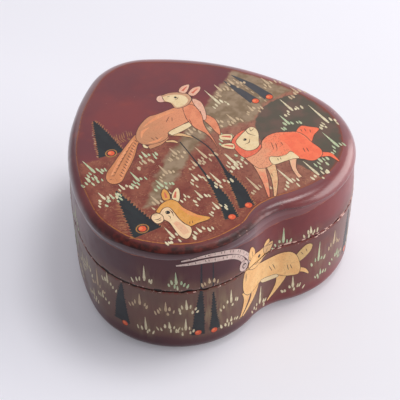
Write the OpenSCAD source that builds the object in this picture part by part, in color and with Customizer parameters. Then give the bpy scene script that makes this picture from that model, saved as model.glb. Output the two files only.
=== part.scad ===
// Heart-shaped papier mache box with a lift-off lid, in millimetres.
// Each half is a pulp board with a pulp wall bent round it, under a skin of painted paper.
// A collar glued inside the base stands up above the seam, and the lid slides down over it.
// The origin is at the middle of the footprint on the resting face, with +Z up.
// The hollow between the two lobes faces -Y and the tip of the heart faces +Y.

/* [Heart outline] */
// Overall width across both lobes
box_w = 100; // [92:1:120]
// Radius of each lobe
lobe_r = 32.5; // [30:0.5:35]
// Radius of the rounded tip
tip_r = 21.5; // [16:0.5:27]
// Distance from the lobe centres to the tip centre
tip_run = 43; // [38:1:54]
// Radius of the long sweep down each side
side_r = 85; // [75:1:120]
// Radius of the shallow hollow between the lobes
notch_r = 19.5; // [14:0.5:28]

/* [Heights] */
// Overall height with the lid on
box_h = 50; // [47:1:65]
// Height of the seam, where the lid wall stands on the base wall
seam_z = 31; // [24:1:34]
// How far the collar stands up above the seam
collar_rise = 6; // [4:0.5:9]
// How far the collar is glued down inside the base wall
collar_seat = 12; // [8:1:18]

/* [Pulp boards and walls] */
// Thickness of the board under the base
floor_t = 4; // [3:0.5:5.5]
// Thickness of the lid board
lid_t = 4; // [3:0.5:5]
// Thickness of the base wall at the seam
wall_t = 3; // [2.6:0.1:3.6]
// Thickness of the collar
collar_t = 1.4; // [1:0.1:2]
// Bevel that guides the lid onto the collar
collar_bevel = 0.5; // [0.2:0.1:0.8]
// Running gap between the lid wall and the collar
lid_gap = 0.3; // [0.2:0.05:0.5]

/* [Painted paper] */
// Thickness of the painted paper on both walls
side_paper_t = 0.4; // [0.3:0.05:0.6]
// Thickness of the painted paper on the lid top
top_paper_t = 0.5; // [0.4:0.05:0.7]
// How far the top paper laps down the lid wall below the bead
lap_drop = 2; // [1:0.5:8]

/* [Rounded edges] */
// Radius of the rounded lower edge
foot_r = 5.2; // [4.4:0.1:6]
// How much narrower each side of the base is at the floor
base_draft = 1.2; // [0.4:0.1:1.6]
// How far the lid bead stands out over the top of the lid wall
bead_lip = 0.5; // [0.2:0.1:0.8]

/* [Hidden] */
$fn = 128;
arc_steps = 8;       // straight steps in each rounded edge of a cross-section
core_steps = 24;     // points on each run of a board's middle
rim_depth = 14;      // width of the swept rim of a board, which laps its middle
foot_turn = 80;      // angle round the lower edge at which the base paper ends
overrun = 1;         // angle by which each arc is swept too far before it is trimmed
wedge_reach = 60;    // how far the trimming wedges reach beyond the arc centres

// The outline is a chain of arcs that meet without a corner:
// lobe, side sweep, tip, side sweep, lobe and hollow.
lobe_x = box_w / 2 - lobe_r;
lobe_y = -(tip_run + tip_r - lobe_r) / 2;
lobe = [lobe_x, lobe_y];
tip = [0, lobe_y + tip_run];
notch = [0, lobe_y - sqrt(pow(lobe_r + notch_r, 2) - pow(lobe_x, 2))];
side = side_centre(lobe, tip, side_r - lobe_r, side_r - tip_r);
side_a0 = heading(side, lobe);
side_a1 = heading(side, tip);
lobe_a0 = heading(lobe, notch);
notch_a0 = heading(notch, lobe);
side_far = lobe + wedge_reach * [cos(side_a0), sin(side_a0)];
tip_far = tip + wedge_reach * [cos(side_a1), sin(side_a1)];
lobe_far = [side_far[0], notch[1]];

// Insets are measured inwards from the outline, level with the seam.
wall_in = side_paper_t + wall_t;
collar_in = wall_in + collar_t;
lid_in = wall_in - lid_gap;
foot_d = base_draft * (1 - foot_r / seam_z);
foot_core_r = foot_r - side_paper_t;
strip_turn = acos((foot_d + foot_r - wall_in) / foot_core_r);
bead_r = lid_t + top_paper_t;
bead_z = box_h - bead_r;
lap_z = bead_z - lap_drop;
bead_tuck = bead_z - top_paper_t;

function heading(from, to) = atan2(to[1] - from[1], to[0] - from[0]);

// Centre that lies r0 from p and r1 from q, on the far side of the heart
function side_centre(p, q, r0, r1) =
    let (d = norm(q - p), u = (q - p) / d, x = (d * d + r0 * r0 - r1 * r1) / (2 * d))
    p + u * x + [-u[1], u[0]] * sqrt(r0 * r0 - x * x);

function arc(c, r, a0, a1, steps) =
    [for (i = [0:steps]) let (a = a0 + (a1 - a0) * i / steps) c + r * [cos(a), sin(a)]];

// Inset of the base's outer face under the paper, and of the lid wall's
function base_face(z) = side_paper_t + base_draft * (1 - z / seam_z);
function lid_face(z) = side_paper_t + bead_lip * (z - seam_z) / (bead_z - seam_z);

// A point on the rounded lower edge, turned down and under by a
function foot_point(r, a) = [foot_d + foot_r - r * cos(a), foot_r - r * sin(a)];
function foot_edge(r, a0, a1) =
    [for (i = [0:arc_steps]) foot_point(r, a0 + (a1 - a0) * i / arc_steps)];

// A list of points without its first, for a run that starts where the last one ended
function rest_of(points) = [for (i = [1:len(points) - 1]) points[i]];

// A quarter round from the outer edge of the lid up to its flat top
function bead_edge(r) =
    [for (i = [0:arc_steps]) let (a = 90 * i / arc_steps) [bead_r - r * cos(a), bead_z + r * sin(a)]];

// The right-hand half of the outline, from the hollow to the tip, as points
function half_outline(inset) = concat(
    [for (i = [core_steps:-1:1]) let (a = notch_a0 + (90 - notch_a0) * i / core_steps)
        notch + (notch_r + inset) * [cos(a), sin(a)]],
    arc(lobe, lobe_r - inset, lobe_a0, side_a0, core_steps),
    arc(side, side_r - inset, side_a0, side_a1, core_steps),
    arc(tip, tip_r - inset, side_a1, 90, core_steps));

function flipped(p) = [-p[0], p[1]];
function mirrored(points) = [for (i = [len(points) - 2:-1:1]) flipped(points[i])];

// Puts its children at p, given as a round part and the small rest, which keeps all its figures
module place(p) {
    round_part = [round(p[0]), round(p[1]), 0];
    translate(round_part) translate([p[0], p[1], 0] - round_part) children();
}

// One arc of the outline, swept with a cross-section of [inset, height] points.
// It is swept a little too far each way and trimmed to its wedge, whose sides the next arcs share.
// way is 1 where the arc bulges outwards and -1 in the hollow.
module arc_run(centre, r, a0, a1, wedge, section, way = 1) {
    intersection() {
        place(centre)
            rotate_extrude(angle = a1 - a0 + 2 * overrun, start = a0 - overrun)
                polygon([for (p = section) [r - way * p[0], p[1]]]);
        translate([0, 0, -1]) linear_extrude(box_h + 2) polygon(wedge);
    }
}

// A closed band that follows the whole heart
module heart_band(section) {
    for (flip = [0, 1]) mirror([flip, 0, 0]) {
        arc_run(lobe, lobe_r, lobe_a0, side_a0, [lobe, notch, lobe_far, side_far], section);
        arc_run(side, side_r, side_a0, side_a1, [side, lobe, side_far, tip_far, tip], section);
    }
    arc_run(tip, tip_r, side_a1, 180 - side_a1, [tip, tip_far, flipped(tip_far)], section);
    arc_run(notch, notch_r, notch_a0, 180 - notch_a0, [notch, lobe, flipped(lobe)], section, -1);
}

// The flat middle of a board, which reaches halfway into its swept rim
module heart_core(z0, z1) {
    half = half_outline(rim_depth / 2);
    translate([0, 0, z0]) linear_extrude(z1 - z0) polygon(concat(half, mirrored(half)));
}

// Pulp board under the base, with its share of the rounded lower edge
module base_board() {
    edge = foot_edge(foot_core_r, strip_turn, foot_turn);
    color("#8a6a58") union() {
        heart_band(concat(
            [[wall_in, floor_t]], edge,
            [foot_point(foot_r, foot_turn), [foot_d + foot_r, 0], [rim_depth, 0], [rim_depth, floor_t]]));
        heart_core(0, floor_t);
    }
}

// Pulp wall glued round the edge of the base board, rounded with it at the foot
module base_wall() {
    color("#7c5b4c") heart_band(concat(
        [[wall_in, seam_z], [base_face(seam_z), seam_z]],
        foot_edge(foot_core_r, 0, strip_turn)));
}

// Strip glued inside the base wall, which the lid fits round
module collar() {
    top = seam_z + collar_rise;
    color("#3a2320") heart_band([
        [wall_in, seam_z - collar_seat], [wall_in, top - collar_bevel],
        [wall_in + collar_bevel, top], [collar_in, top], [collar_in, seam_z - collar_seat]]);
}

// Painted paper over the base wall, carried round the lower edge.
// Inside, it takes the same points as the wall and then the board under it.
module base_paper() {
    inner = concat(
        foot_edge(foot_core_r, foot_turn, strip_turn),
        rest_of(foot_edge(foot_core_r, strip_turn, 0)));
    color("#6e3a3c") heart_band(concat(
        [[base_face(seam_z), seam_z], [base_face(seam_z) - side_paper_t, seam_z]],
        foot_edge(foot_r, 0, foot_turn), inner));
}

// Pulp board of the lid, its edge a quarter round that stands out over the wall
module lid_board() {
    color("#8a6a58") union() {
        heart_band(concat(bead_edge(lid_t), [[rim_depth, bead_z + lid_t], [rim_depth, bead_z]]));
        heart_core(bead_z, bead_z + lid_t);
    }
}

// Pulp wall of the lid, glued under the edge of the lid board
module lid_wall() {
    color("#7c5b4c") heart_band([
        [lid_face(seam_z), seam_z], [lid_face(bead_z), bead_z],
        [lid_in, bead_z], [lid_in, seam_z]]);
}

// Painted paper round the lid wall, up to the edge of the top paper
module lid_side_paper() {
    color("#6e3a3c") heart_band([
        [lid_face(seam_z) - side_paper_t, seam_z], [lid_face(lap_z) - side_paper_t, lap_z],
        [lid_face(lap_z), lap_z], [lid_face(seam_z), seam_z]]);
}

// Painted paper over the lid board and its bead, lapped down the lid wall
module lid_top_paper() {
    color("#7a3438") union() {
        heart_band(concat(
            bead_edge(bead_r), [[rim_depth, box_h], [rim_depth, box_h - top_paper_t]],
            [for (i = [arc_steps:-1:0]) bead_edge(lid_t)[i]],
            [[lid_face(bead_z), bead_z], [lid_face(lap_z), lap_z],
             [lid_face(lap_z) - top_paper_t, lap_z], [lid_face(bead_tuck) - top_paper_t, bead_tuck]]));
        heart_core(box_h - top_paper_t, box_h);
    }
}

base_board();
base_wall();
collar();
base_paper();
lid_board();
lid_wall();
lid_side_paper();
lid_top_paper();
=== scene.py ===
import math
import random

import bmesh
import bpy
from mathutils import Matrix, Vector, geometry, noise


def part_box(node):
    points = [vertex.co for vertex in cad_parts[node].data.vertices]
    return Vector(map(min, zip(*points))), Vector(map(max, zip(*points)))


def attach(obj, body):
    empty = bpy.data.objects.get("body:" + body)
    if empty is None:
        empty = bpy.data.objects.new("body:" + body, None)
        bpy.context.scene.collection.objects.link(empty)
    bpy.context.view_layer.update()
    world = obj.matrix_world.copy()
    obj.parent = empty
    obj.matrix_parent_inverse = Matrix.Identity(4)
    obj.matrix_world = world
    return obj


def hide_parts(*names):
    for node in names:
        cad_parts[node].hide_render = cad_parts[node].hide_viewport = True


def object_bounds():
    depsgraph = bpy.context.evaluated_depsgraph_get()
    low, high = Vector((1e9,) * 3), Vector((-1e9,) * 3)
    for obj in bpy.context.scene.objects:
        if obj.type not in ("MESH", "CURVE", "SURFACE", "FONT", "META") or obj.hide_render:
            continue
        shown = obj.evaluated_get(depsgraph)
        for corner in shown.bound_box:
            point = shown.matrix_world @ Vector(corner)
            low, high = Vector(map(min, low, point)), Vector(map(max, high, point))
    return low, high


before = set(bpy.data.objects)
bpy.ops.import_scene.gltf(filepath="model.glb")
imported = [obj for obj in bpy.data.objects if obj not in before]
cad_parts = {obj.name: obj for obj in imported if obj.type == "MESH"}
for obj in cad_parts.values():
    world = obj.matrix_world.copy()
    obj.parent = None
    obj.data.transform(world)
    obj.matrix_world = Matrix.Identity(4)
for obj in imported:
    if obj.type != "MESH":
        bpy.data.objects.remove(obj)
cad_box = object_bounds()

# Sizes and places are in millimetres, and turn into metres only when a mesh is made.
# A place on the walls is (s, z): s runs anticlockwise round the outline from the middle of the hollow.
MM = 0.001
BOX_W = (cad_box[1].x - cad_box[0].x) / MM
BOX_H = (cad_box[1].z - cad_box[0].z) / MM
SEAM_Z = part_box("base_wall")[1].z / MM
BEAD_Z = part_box("lid_wall")[1].z / MM
LID_BOARD_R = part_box("lid_board")[1].z / MM - BEAD_Z

# The outline's arcs, the same as the construction's
LOBE_R = 32.5
TIP_R = 21.5
TIP_RUN = 43.0
SIDE_R = 85.0
NOTCH_R = 19.5

# The skins
PAPER = 0.4           # depth of the pulp under the painted paper
FOOT_R = 5.2
FOOT_TURN = math.radians(80)
BASE_DRAFT = 1.2
BEAD_R = BOX_H - BEAD_Z
BEAD_LIP = 0.5
CLEAR = 0.03          # least distance between a skin's faces and the pulp behind
CROWN = 0.35          # how much lower the top's edge is than its middle
PAINT_ROOM = 0.08     # room over the top for the coats of paint on it
DENT = 0.24           # deepest unevenness of the walls
LAP_STEP = 0.08       # how far the lower edge of the top paper stands out
COLUMNS = 624
CAP_STEP = 2.0        # spacing of the points that fill the lid's top
SHARP = math.radians(40)
BURIED = 0.02         # how far a coat of paint reaches into the skin under it

# How far each coat of paint stands out from its skin. Where two cross, the one further out shows.
PANEL_LIFT = 0.015
LAP_LIFT = 0.02
TREE_LIFT = 0.03      # also the gold line's
WALL_GRASS_LIFT = 0.035
GRASS_LIFT = 0.04
LID_CHIP_LIFT = 0.045
BASE_CHIP_LIFT = 0.05
FIGURE_LIFT = 0.055
LID_STEP = 1.5        # spacing of the points that fill a shape on the lid's top
WALL_STEP = 1.0       # and on the walls
WALL_LEAN = 0.22      # how far the grass of the walls leans outwards


# ---- The outline ----

def heading(start, end):
    return math.atan2(end.y - start.y, end.x - start.x)


def side_centre(p, q, r0, r1):
    """Centre that lies r0 from p and r1 from q, on the far side of the heart."""
    along = (q - p).normalized()
    gap = (q - p).length
    x = (gap * gap + r0 * r0 - r1 * r1) / (2 * gap)
    return p + along * x + Vector((-along.y, along.x)) * math.sqrt(r0 * r0 - x * x)


def outline_arcs():
    """(centre, radius, first angle, last angle, way) of each arc, in the order of s."""
    lobe = Vector((BOX_W / 2 - LOBE_R, -(TIP_RUN + TIP_R - LOBE_R) / 2))
    tip = Vector((0, lobe.y + TIP_RUN))
    notch = Vector((0, lobe.y - math.sqrt((LOBE_R + NOTCH_R) ** 2 - lobe.x ** 2)))
    side = side_centre(lobe, tip, SIDE_R - LOBE_R, SIDE_R - TIP_R)
    right = [
        (notch, NOTCH_R, math.pi / 2, heading(notch, lobe), -1),
        (lobe, LOBE_R, heading(lobe, notch), heading(side, lobe), 1),
        (side, SIDE_R, heading(side, lobe), heading(side, tip), 1),
        (tip, TIP_R, heading(side, tip), math.pi / 2, 1),
    ]
    left = [
        (Vector((-c.x, c.y)), r, math.pi - a1, math.pi - a0, way) for c, r, a0, a1, way in reversed(right)
    ]
    return right + left


ARCS = outline_arcs()
RUNS = [r * abs(a1 - a0) for _, r, a0, a1, _ in ARCS]
AROUND = sum(RUNS)


def outline(s):
    """Point on the outline at s, and the outward direction there."""
    s %= AROUND
    last = len(RUNS) - 1
    for i, run in enumerate(RUNS):
        if s <= run or i == last:
            break
        s -= run
    centre, radius, a0, a1, way = ARCS[i]
    angle = a0 + (a1 - a0) * s / RUNS[i]
    out = Vector((math.cos(angle), math.sin(angle)))
    return centre + out * radius, out * way


def nearest(x, y):
    """(inset, s) of a point of the plan."""
    inset, found, start = BOX_W, 0.0, 0.0
    for (centre, radius, a0, a1, way), run in zip(ARCS, RUNS):
        arm = Vector((x, y)) - centre
        low, high = min(a0, a1), max(a0, a1)
        turn = (math.atan2(arm.y, arm.x) - low) % math.tau
        here = way * (radius - arm.length)
        if turn <= high - low + 1e-6 and here < inset:
            share = turn / (high - low)
            inset = here
            found = start + run * (share if a1 > a0 else 1 - share)
        start += run
    return inset, found


def from_front(s, middle=0.0):
    """Distance round the outline from the place called middle."""
    return abs((s - middle + AROUND / 2) % AROUND - AROUND / 2)


def by_keys(s, keys):
    """A value that runs smoothly round the box through (s, value) keys."""
    s %= AROUND
    keys = [(keys[-1][0] - AROUND, keys[-1][1])] + keys + [(keys[0][0] + AROUND, keys[0][1])]
    for (s0, v0), (s1, v1) in zip(keys, keys[1:]):
        if s0 <= s <= s1:
            return v0 + (v1 - v0) * smooth(s, s0, s1)
    return keys[0][1]


def smooth(value, low, high):
    t = max(0.0, min(1.0, (value - low) / (high - low)))
    return t * t * (3 - 2 * t)


def wave(point, size):
    """Smooth unevenness from -1 to 1, with swells about size across."""
    return max(-1.0, min(1.0, 1.6 * noise.noise(Vector(point) / size)))


# ---- The surfaces that the skins and the paint share ----

# 1 where the lid's edge is a thin lip over the front wall, and 0 where it is a broad soft shoulder
LIP_KEYS = [(4, 0.8), (14, 0.45), (30, 0.12), (60, 0), (228, 0), (246, 0.5), (258, 1), (300, 1)]


def edge_round(s):
    """(inset, width, height) of the quarter oval that rounds off the lid's top."""
    lip = by_keys(s, LIP_KEYS)
    return 0.22 * lip, BEAD_R - 1.1 * lip, BEAD_R - 3.0 * lip


def edge_drop(s, inset):
    start, width, height = edge_round(s)
    short = min(1.0, max(0.0, (start + width - inset) / width))
    return height * (1 - math.sqrt(1 - short * short))


def crown(x, y):
    """Height of the lid's top before its edge rounds off."""
    half = BOX_W / 2
    ripple = 0.05 * (1 + wave((x, y, 0), 16)) / 2
    return BOX_H - PAINT_ROOM - CROWN * (x * x + y * y) / (half * half) - ripple


def top_point(x, y, lift):
    inset, s = nearest(x, y)
    drop = edge_drop(s, inset) if inset < BEAD_R else 0
    return Vector((x, y, crown(x, y) - drop + lift))


def dents(s, z):
    point, _ = outline(s)
    spot = (point.x, point.y, z)
    right_shoulder = smooth(from_front(s, 44), 24, 8)
    return DENT * (0.45 + 0.4 * wave(spot, 17) + 0.15 * wave(spot, 4.5)) * (1 - 0.8 * right_shoulder)


def foot_inset():
    return BASE_DRAFT * (1 - FOOT_R / SEAM_Z)


def base_inset(s, z):
    rounding = FOOT_R - math.sqrt(max(0.0, FOOT_R ** 2 - max(0.0, FOOT_R - z) ** 2))
    return BASE_DRAFT * (1 - max(z, FOOT_R) / SEAM_Z) + rounding + dents(s, z)


def lid_inset(s, z):
    return BEAD_LIP * (z - SEAM_Z) / (BEAD_Z - SEAM_Z) + dents(s, z)


def pulp_inset(z):
    """Inset of the lid's pulp behind the skin, less the clearance."""
    if z > BEAD_Z:
        return BEAD_R - math.sqrt(max(0.0, LID_BOARD_R ** 2 - (z - BEAD_Z) ** 2)) - CLEAR
    return PAPER + BEAD_LIP * (z - SEAM_Z) / (BEAD_Z - SEAM_Z) - CLEAR


def neck(s):
    """(inset, z) of the hollow under the lid's rounded edge."""
    _, _, height = edge_round(s)
    z = BOX_H - height - 0.6
    return min(by_keys(s, NECK_KEYS), pulp_inset(z) - CLEAR), z


# How deep that hollow is: deep at the front, and hardly there where the shoulder is soft
NECK_KEYS = [(3, 0.8), (14, 0.62), (40, 0.42), (90, 0.38), (215, 0.38), (242, 0.6), (262, 1.05), (300, 1.05)]
# Height of the lower edge of the top paper
LAP_KEYS = [(0, 42.2), (10, 43.0), (21, 44.4), (60, 44.0), (150, 43.6), (240, 44.2), (278, 45.4), (290, 45.3),
            (296, 44.1), (302, 42.9), (307, 42.0)]


def lap_edge(s):
    point, _ = outline(s)
    return min(by_keys(s, LAP_KEYS) + 0.2 * wave((point.x, point.y, 7), 9), neck(s)[1] - 0.5)


def upper_inset(s, z):
    """Inset of the lid's wall from the lap's edge up to the neck."""
    lap = lap_edge(s)
    deep, top = neck(s)
    low = lid_inset(s, lap) - LAP_STEP
    return min(low + (deep - low) * smooth(z, lap, top), pulp_inset(z) - CLEAR)


# Extra width of the dark gap at the seam, widest at the front of the left lobe
GAP_KEYS = [(8, 0.05), (40, 0.08), (90, 0.0), (225, 0.0), (250, 0.20), (275, 0.26), (292, 0.16), (303, 0.05)]


def gap(s, side):
    """How far the skin's edge has worn back from the seam, on the lid (1) or the base (-1)."""
    point, _ = outline(s)
    spot = (point.x, point.y, 40.0 * side)
    worn = 0.10 + 0.10 * wave(spot, 9) + by_keys(s, GAP_KEYS)
    chip = 0.45 * smooth(wave(spot, 2.2), 0.45, 0.75)
    return max(0.04, worn) + chip


def lid_edge(s):
    return SEAM_Z + gap(s, 1)


def base_edge(s):
    return SEAM_Z - gap(s, -1)


def on_outline(s, inset, z):
    point, out = outline(s)
    return Vector((*(point - out * inset), z))


def base_point(s, z, lift):
    z = min(z, base_edge(s) - CLEAR)
    return on_outline(s, base_inset(s, z) - lift, z)


def lid_point(s, z, lift):
    z = max(z, lid_edge(s) + CLEAR)
    inset = lid_inset(s, z) if z < lap_edge(s) else upper_inset(s, z)
    return on_outline(s, inset - lift, z)


# ---- Materials ----

def srgb(red, green, blue):
    """A colour given by its everyday 0 to 255 values, as a shader wants it."""
    parts = [v / 255 for v in (red, green, blue)]
    return tuple(v / 12.92 if v <= 0.04045 else ((v + 0.055) / 1.055) ** 2.4 for v in parts) + (1.0,)


SPECULAR = 0.3
COAT_ROUGHNESS = 0.28
COAT = 0.15           # weight of the varnish
EDGE_COAT = 1.0       # the lid's rounded edge is polished by handling
RELIEF = 0.03         # depth of the varnish's unevenness
BRUSH_RELIEF = 0.02   # depth of the brush marks in the paints
MAROON = srgb(122, 46, 46)
PLUM = srgb(102, 42, 48)
RUSSET = srgb(132, 50, 42)
# Colour of the painted shade on the walls that face away from the window
PAINTED_SHADE_PLUM = srgb(54, 28, 36)
CHALK = srgb(226, 186, 172)
DIRT = srgb(38, 20, 18)


class Shader:
    """A procedural material under construction. Its methods return sockets."""

    def __init__(self, name):
        self.material = bpy.data.materials.new(name)
        self.material.use_nodes = True
        self.tree = self.material.node_tree
        self.bsdf = self.tree.nodes["Principled BSDF"]
        self.coords = self.add("ShaderNodeTexCoord").outputs

    def add(self, kind, values=None, **settings):
        node = self.tree.nodes.new(kind)
        for key, value in settings.items():
            setattr(node, key, value)
        for key, value in (values or {}).items():
            if isinstance(value, bpy.types.NodeSocket):
                self.tree.links.new(value, node.inputs[key])
            else:
                node.inputs[key].default_value = value
        return node

    def noise(self, size, detail=4.0, stretch=(1, 1, 1)):
        """Noise with patches about size millimetres across."""
        place = self.add("ShaderNodeMapping", {"Vector": self.coords["Object"], "Scale": stretch})
        values = {"Vector": place.outputs[0], "Scale": 1 / (size * MM), "Detail": detail}
        return self.add("ShaderNodeTexNoise", values).outputs["Fac"]

    def step(self, value, low, high):
        values = {"Value": value, "From Min": low, "From Max": high}
        return self.add("ShaderNodeMapRange", values, interpolation_type="SMOOTHSTEP").outputs["Result"]

    def span(self, value, low, high):
        """A value from 0 to 1, spread over low to high."""
        values = {"Value": value, "To Min": low, "To Max": high}
        return self.add("ShaderNodeMapRange", values).outputs["Result"]

    def patches(self, size, detail, low, high, share=1.0, stretch=(1, 1, 1)):
        """Noise hardened into patches about size millimetres across, from 0 to share."""
        return self.times(self.step(self.noise(size, detail, stretch), low, high), share)

    def times(self, a, b):
        return self.add("ShaderNodeMath", {0: a, 1: b}, operation="MULTIPLY").outputs[0]

    def plus(self, a, b):
        return self.add("ShaderNodeMath", {0: a, 1: b}, operation="ADD").outputs[0]

    def mix(self, factor, a, b):
        return self.add("ShaderNodeMix", {0: factor, 6: a, 7: b}, data_type="RGBA").outputs[2]

    def axis(self, index):
        """The point's own x, y or z, in metres."""
        return self.add("ShaderNodeSeparateXYZ", {0: self.coords["Object"]}).outputs[index]

    def facing_up(self):
        return self.add("ShaderNodeSeparateXYZ", {0: self.coords["Normal"]}).outputs[2]

    def field(self, name):
        """A number that each point of the mesh carries."""
        return self.add("ShaderNodeAttribute", attribute_name=name).outputs["Fac"]

    def rough_edge(self, name, size, reach, low, high):
        """0 outside and 1 inside of a painted area, whose depth the mesh carries in millimetres."""
        ragged = self.times(self.span(self.noise(size, 6), -1.0, 1.0), reach)
        return self.step(self.plus(self.field(name), ragged), low, high)

    def finish(self, color, roughness, relief=None, depth=0.05, coat=0.0, dull=None):
        """Wires the colour, the roughness and a bump that is depth millimetres deep.
        coat is the varnish's weight, and dull a value from 0 to 1 that says where it has gone."""
        self.tree.links.new(color, self.bsdf.inputs["Base Color"])
        if dull is not None:
            self.tree.links.new(self.times(self.span(dull, 1.0, 0.0), coat), self.bsdf.inputs["Coat Weight"])
        self.tree.links.new(roughness, self.bsdf.inputs["Roughness"])
        if relief is not None:
            bump = self.add("ShaderNodeBump", {"Height": relief, "Distance": depth * MM, "Strength": 1.0})
            self.tree.links.new(bump.outputs[0], self.bsdf.inputs["Normal"])
        self.bsdf.inputs["Specular IOR Level"].default_value = SPECULAR
        self.bsdf.inputs["Coat Weight"].default_value = coat
        self.bsdf.inputs["Coat Roughness"].default_value = COAT_ROUGHNESS
        return self.material


def lacquer_relief(shader):
    """Fine orange peel under the varnish, with a few long rubs."""
    peel = shader.times(shader.noise(1.6, 3), 0.5)
    rubs = shader.times(shader.noise(2.0, 2, (1, 6, 1)), 0.25)
    return shader.plus(peel, rubs)


def lacquer_roughness(shader):
    return shader.span(shader.patches(9, 5, 0.48, 0.75), 0.28, 0.44)


def maroon_lacquer(shader):
    """Maroon that drifts between plum and russet, with tiny pale specks."""
    color = shader.mix(shader.patches(22, 5, 0.35, 0.65), PLUM, MAROON)
    color = shader.mix(shader.patches(7, 6, 0.55, 0.75, 0.6), color, RUSSET)
    return shader.mix(shader.patches(0.7, 2, 0.75, 0.80, 0.35), color, CHALK)


# Scuffs and chips, each over those before it: (field that limits them, their patches, colour)
WEAR = [
    ("worn", (1.3, 4, 0.50, 0.60), srgb(120, 42, 34)),
    ("worn", (0.9, 3, 0.64, 0.68), CHALK),
    ("rubbed", (1.8, 5, 0.58, 0.66, 0.8), srgb(84, 30, 28)),
    ("rubbed", (1.1, 4, 0.68, 0.72, 0.7), CHALK),
]


def skin_material(name, coat_weight=COAT):
    """Lacquered paper: maroon, the painted field with its khaki glow, the stained edge, painted shade on the
    walls away from the window and in the hollow under the lid's edge, and the wear.
    """
    shader = Shader(name)
    color = maroon_lacquer(shader)
    # Painted shade: the walls that face away from the window are painted darker plum
    color = shader.mix(shader.times(shader.field("painted_shade"), 0.75), color, PAINTED_SHADE_PLUM)
    olive = shader.mix(shader.noise(5, 6), srgb(92, 66, 54), srgb(112, 70, 58))
    color = shader.mix(shader.field("ground"), color, olive)
    streak = shader.patches(1.5, 4, 0.38, 0.62, stretch=(1, 1, 0.15))
    color = shader.mix(shader.times(shader.field("glow"), streak), color, srgb(140, 120, 88))
    stained = shader.field("lip")
    stain = shader.mix(shader.patches(2.5, 5, 0.40, 0.66), srgb(50, 16, 14), srgb(96, 32, 24))
    color = shader.mix(stained, color, stain)
    # Painted shade: near-black red in the hollow under the lid's rounded edge
    color = shader.mix(shader.times(shader.field("neck"), 0.85), color, srgb(34, 10, 12))
    for field, patches, bared in WEAR:
        color = shader.mix(shader.times(shader.field(field), shader.patches(*patches)), color, bared)
    roughness = shader.plus(lacquer_roughness(shader), shader.times(stained, 0.15))
    return shader.finish(color, roughness, lacquer_relief(shader), RELIEF, coat_weight, stained)


def panel_material():
    """The painted ground of the lid: maroon sky, red earth, khaki grass and a dark hill."""
    shader = Shader("panel_ground")
    red = shader.mix(shader.patches(5, 6, 0.36, 0.64), srgb(116, 46, 34), srgb(136, 72, 52))
    pink = shader.mix(shader.patches(4, 6, 0.36, 0.64), srgb(158, 104, 82), srgb(134, 78, 60))
    ground = shader.mix(shader.step(shader.axis(0), -0.004, 0.012), red, pink)
    sprinkle = shader.times(shader.patches(0.6, 3, 0.55, 0.64, 0.5), shader.patches(6, 4, 0.42, 0.58))
    ground = shader.mix(sprinkle, ground, srgb(176, 124, 86))
    ground = shader.mix(shader.patches(0.9, 4, 0.44, 0.36, 0.4), ground, srgb(84, 34, 26))
    color = shader.mix(shader.rough_edge("earth", 3, 1.6, -0.4, 0.8), maroon_lacquer(shader), ground)
    khaki = shader.mix(shader.patches(3, 6, 0.36, 0.64), srgb(122, 98, 70), srgb(148, 124, 98))
    color = shader.mix(shader.rough_edge("khaki", 3, 2.2, -0.9, 1.4), color, khaki)
    hill = shader.mix(shader.patches(7, 6, 0.4, 0.62), srgb(80, 70, 56), srgb(98, 74, 62))
    hill = shader.mix(shader.patches(4, 5, 0.5, 0.66, 0.4), hill, srgb(72, 74, 56))
    color = shader.mix(shader.rough_edge("hill", 2, 0.7, -0.25, 0.3), color, hill)
    rim = shader.mix(shader.noise(2, 4), srgb(126, 46, 34), srgb(116, 56, 46))
    color = shader.mix(shader.rough_edge("rim", 2.5, 1.2, -0.6, 1.4), rim, color)
    return shader.finish(color, lacquer_roughness(shader), lacquer_relief(shader), RELIEF, COAT)


def gold_material():
    """The thin line round the painted panel, rubbed through here and there."""
    shader = Shader("gold_line")
    gold = shader.mix(shader.noise(4, 4), srgb(204, 136, 58), srgb(150, 84, 40))
    left = shader.times(shader.field("strong"), shader.patches(1.6, 5, 0.30, 0.52))
    color = shader.mix(left, srgb(122, 52, 44), gold)
    return brushed(shader, color, 0.45)


def brushed(shader, color, roughest):
    """The finish that all thin paints share: brush marks under a little varnish."""
    roughness = shader.span(shader.noise(3, 4), 0.3, roughest)
    return shader.finish(color, roughness, shader.noise(0.8, 4), BRUSH_RELIEF, COAT)


def paint_material(name, color, second, size=2.5, stretch=(1, 1, 1), share=0.7, stipple=0.2):
    """Brushed paint that drifts from one colour to a second, with fine stipple."""
    shader = Shader(name)
    drift = shader.patches(size, 6, 0.38, 0.64, share, stretch)
    made = shader.mix(drift, srgb(*color), srgb(*second))
    made = shader.mix(shader.patches(0.5, 3, 0.54, 0.66, stipple), made, srgb(104, 54, 38))
    return brushed(shader, made, 0.46)


def graded_paint(name, low, high, start, end, stipple=0.25):
    """Brushed paint that changes from low to high along X, between two places in millimetres."""
    shader = Shader(name)
    warp = shader.times(shader.span(shader.noise(2.2, 6), -1.0, 1.0), 0.006)
    place = shader.plus(shader.axis(0), warp)
    made = shader.mix(shader.step(place, start * MM, end * MM), srgb(*low), srgb(*high))
    made = shader.mix(shader.patches(0.5, 3, 0.52, 0.64, stipple), made, srgb(146, 72, 52))
    return brushed(shader, made, 0.46)


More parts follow.
